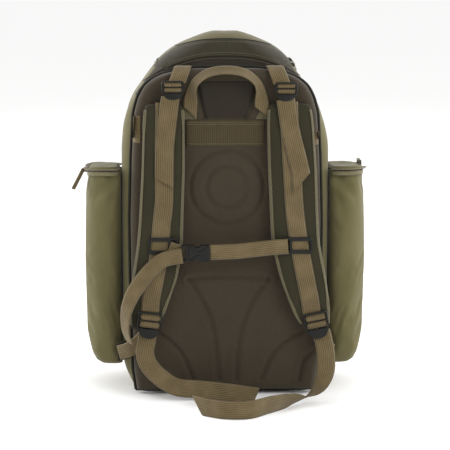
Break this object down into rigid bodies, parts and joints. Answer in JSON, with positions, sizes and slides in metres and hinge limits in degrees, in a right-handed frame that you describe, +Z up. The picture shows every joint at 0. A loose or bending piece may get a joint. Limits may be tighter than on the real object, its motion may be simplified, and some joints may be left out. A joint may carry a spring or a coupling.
{
  "type": "tackle backpack",
  "caption": "Fishing tackle backpack with domed zip lid, two side pockets, a front pocket, padded back panel, shoulder straps, sternum strap and grab handle.",
  "frame": {"origin": "middle of the bag's footprint, on the surface it stands on", "axes": "+Z up to the lid; the back panel and shoulder straps face -Y and the front pocket +Y; +X is to the right as the harness is looked at"},
  "size_m": [0.472, 0.4157, 0.59],
  "materials": {
    "olive_fabric": "coated woven polyester with a fine ripstop grid",
    "panel_fabric": "brushed woven face over moulded foam",
    "strap_fabric": "smooth woven face over foam",
    "spacer_mesh": "open knitted spacer mesh",
    "webbing": "ribbed polypropylene webbing",
    "buckle_plastic": "satin moulded acetal",
    "stiff_board": "moulded polyethylene board",
    "dark_binding": "corded piping",
    "zip_metal": "worn painted zinc"
  },
  "bodies": {
    "bag": {"bag_shell": "olive_fabric", "base_panel": "stiff_board", "frame_sheet": "stiff_board", "back_panel_pad": "panel_fabric", "panel_piping": "dark_binding", "left_pocket_shell": "olive_fabric", "right_pocket_shell": "olive_fabric", "front_pocket_shell": "olive_fabric", "left_shoulder_pad": "strap_fabric", "right_shoulder_pad": "strap_fabric", "left_strap_webbing": "webbing", "right_strap_webbing": "webbing", "left_lifter_webbing": "webbing", "right_lifter_webbing": "webbing", "left_lifter_tail": "webbing", "right_lifter_tail": "webbing", "left_anchor_wing": "strap_fabric", "right_anchor_wing": "strap_fabric", "left_lower_webbing": "webbing", "right_lower_webbing": "webbing", "yoke_band": "webbing", "left_yoke_mesh": "spacer_mesh", "right_yoke_mesh": "spacer_mesh", "left_edge_tab": "webbing", "right_edge_tab": "webbing", "left_long_tail": "webbing", "right_long_tail": "webbing"},
    "lid": {"main_lid": "olive_fabric"},
    "left_flap": {"left_pocket_flap": "olive_fabric"},
    "right_flap": {"right_pocket_flap": "olive_fabric"},
    "front_flap": {"front_pocket_flap": "olive_fabric"},
    "handle": {"grab_handle": "webbing"},
    "left_chest": {"left_chest_slider": "buckle_plastic", "left_chest_webbing": "webbing", "chest_buckle_male": "buckle_plastic", "buckle_guide_tongue": "buckle_plastic", "chest_tail": "webbing"},
    "right_chest": {"right_chest_slider": "buckle_plastic", "right_chest_webbing": "webbing"},
    "buckle_socket": {"chest_buckle_female": "buckle_plastic"},
    "upper_prong": {"upper_buckle_prong": "buckle_plastic"},
    "lower_prong": {"lower_buckle_prong": "buckle_plastic"},
    "left_lifter_lock": {"left_lifter_lock": "buckle_plastic"},
    "right_lifter_lock": {"right_lifter_lock": "buckle_plastic"},
    "left_lower_lock": {"left_lower_lock": "buckle_plastic"},
    "right_lower_lock": {"right_lower_lock": "buckle_plastic"},
    "main_left_slider": {"main_left_zip_slider": "zip_metal"},
    "main_left_pull": {"main_left_zip_pull": "webbing"},
    "main_right_slider": {"main_right_zip_slider": "zip_metal"},
    "main_right_pull": {"main_right_zip_pull": "webbing"},
    "left_pocket_slider": {"left_pocket_zip_slider": "zip_metal"},
    "left_pocket_pull": {"left_pocket_zip_pull": "webbing"},
    "right_pocket_slider": {"right_pocket_zip_slider": "zip_metal"},
    "right_pocket_pull": {"right_pocket_zip_pull": "webbing"},
    "front_pocket_slider": {"front_pocket_zip_slider": "zip_metal"},
    "front_pocket_pull": {"front_pocket_zip_pull": "webbing"}
  },
  "joints": [
    {"name": "lid_hinge", "type": "hinge", "parent": "bag", "child": "lid", "pos_m": [0, -0.08, 0.544], "axis": [1, 0, 0], "range_deg": [0, 95]},
    {"name": "left_flap_hinge", "type": "hinge", "parent": "bag", "child": "left_flap", "pos_m": [-0.174, 0, 0.3725], "axis": [0, 1, 0], "range_deg": [0, 85]},
    {"name": "right_flap_hinge", "type": "hinge", "parent": "bag", "child": "right_flap", "pos_m": [0.174, 0, 0.3725], "axis": [0, -1, 0], "range_deg": [0, 85]},
    {"name": "front_flap_hinge", "type": "hinge", "parent": "bag", "child": "front_flap", "pos_m": [0, 0.096, 0.3205], "axis": [1, 0, 0], "range_deg": [0, 85]},
    {"name": "handle_swing", "type": "hinge", "parent": "bag", "child": "handle", "pos_m": [0, -0.1122, 0.465], "axis": [1, 0, 0], "range_deg": [0, 80]},
    {"name": "right_chest_height", "type": "slide", "parent": "bag", "child": "right_chest", "axis": [0, 0, 1], "range_m": [0, 0.06]},
    {"name": "left_chest_height", "type": "slide", "parent": "bag", "child": "left_chest", "axis": [0, 0, 1], "range_m": [0, 0.06]},
    {"name": "buckle_release", "type": "slide", "parent": "right_chest", "child": "buckle_socket", "axis": [1, 0, 0], "range_m": [0, 0.03], "deforming": ["right_chest_webbing"]},
    {"name": "upper_prong_pinch", "type": "hinge", "parent": "left_chest", "child": "upper_prong", "pos_m": [-0.061, -0.143, 0.253], "axis": [0, 1, 0], "range_deg": [0, 4], "stiffness_Nm_per_rad": 0.05},
    {"name": "lower_prong_pinch", "type": "hinge", "parent": "left_chest", "child": "lower_prong", "pos_m": [-0.061, -0.143, 0.235], "axis": [0, -1, 0], "range_deg": [0, 4], "stiffness_Nm_per_rad": 0.05},
    {"name": "left_lifter_lock_tilt", "type": "hinge", "parent": "bag", "child": "left_lifter_lock", "pos_m": [-0.0855, -0.1284, 0.5184], "axis": [-1, 0, 0], "range_deg": [0, 30]},
    {"name": "right_lifter_lock_tilt", "type": "hinge", "parent": "bag", "child": "right_lifter_lock", "pos_m": [0.0955, -0.1284, 0.5159], "axis": [-1, 0, 0], "range_deg": [0, 30]},
    {"name": "left_lower_lock_tilt", "type": "hinge", "parent": "bag", "child": "left_lower_lock", "pos_m": [-0.1255, -0.1348, 0.1439], "axis": [-1, 0, 0], "range_deg": [0, 30]},
    {"name": "right_lower_lock_tilt", "type": "hinge", "parent": "bag", "child": "right_lower_lock", "pos_m": [0.148, -0.1346, 0.1419], "axis": [-1, 0, 0], "range_deg": [0, 30]},
    {"name": "main_left_zip_slide", "type": "slide", "parent": "bag", "child": "main_left_slider", "axis": [-1, 0, 0], "range_m": [0, 0.055]},
    {"name": "main_left_pull_swing", "type": "hinge", "parent": "main_left_slider", "child": "main_left_pull", "pos_m": [-0.008, 0.0748, 0.537], "axis": [1, 0, 0], "range_deg": [0, 90]},
    {"name": "main_right_zip_slide", "type": "slide", "parent": "bag", "child": "main_right_slider", "axis": [1, 0, 0], "range_m": [0, 0.055]},
    {"name": "main_right_pull_swing", "type": "hinge", "parent": "main_right_slider", "child": "main_right_pull", "pos_m": [0.008, 0.0748, 0.537], "axis": [1, 0, 0], "range_deg": [0, 90]},
    {"name": "left_pocket_zip_slide", "type": "slide", "parent": "bag", "child": "left_pocket_slider", "axis": [0, 1, 0], "range_m": [0, 0.09]},
    {"name": "left_pocket_pull_swing", "type": "hinge", "parent": "left_pocket_slider", "child": "left_pocket_pull", "pos_m": [-0.2318, -0.05, 0.369], "axis": [0, 1, 0], "range_deg": [0, 90]},
    {"name": "right_pocket_zip_slide", "type": "slide", "parent": "bag", "child": "right_pocket_slider", "axis": [0, -1, 0], "range_m": [0, 0.09]},
    {"name": "right_pocket_pull_swing", "type": "hinge", "parent": "right_pocket_slider", "child": "right_pocket_pull", "pos_m": [0.2318, 0.044, 0.369], "axis": [0, -1, 0], "range_deg": [0, 90]},
    {"name": "front_pocket_zip_slide", "type": "slide", "parent": "bag", "child": "front_pocket_slider", "axis": [1, 0, 0], "range_m": [0, 0.14]},
    {"name": "front_pocket_pull_swing", "type": "hinge", "parent": "front_pocket_slider", "child": "front_pocket_pull", "pos_m": [-0.07, 0.1488, 0.317], "axis": [1, 0, 0], "range_deg": [0, 90]}
  ],
  "couplings": [
    {"joint": "left_chest_height", "follows": "right_chest_height", "ratio": 1},
    {"joint": "lower_prong_pinch", "follows": "upper_prong_pinch", "ratio": 1}
  ]
}
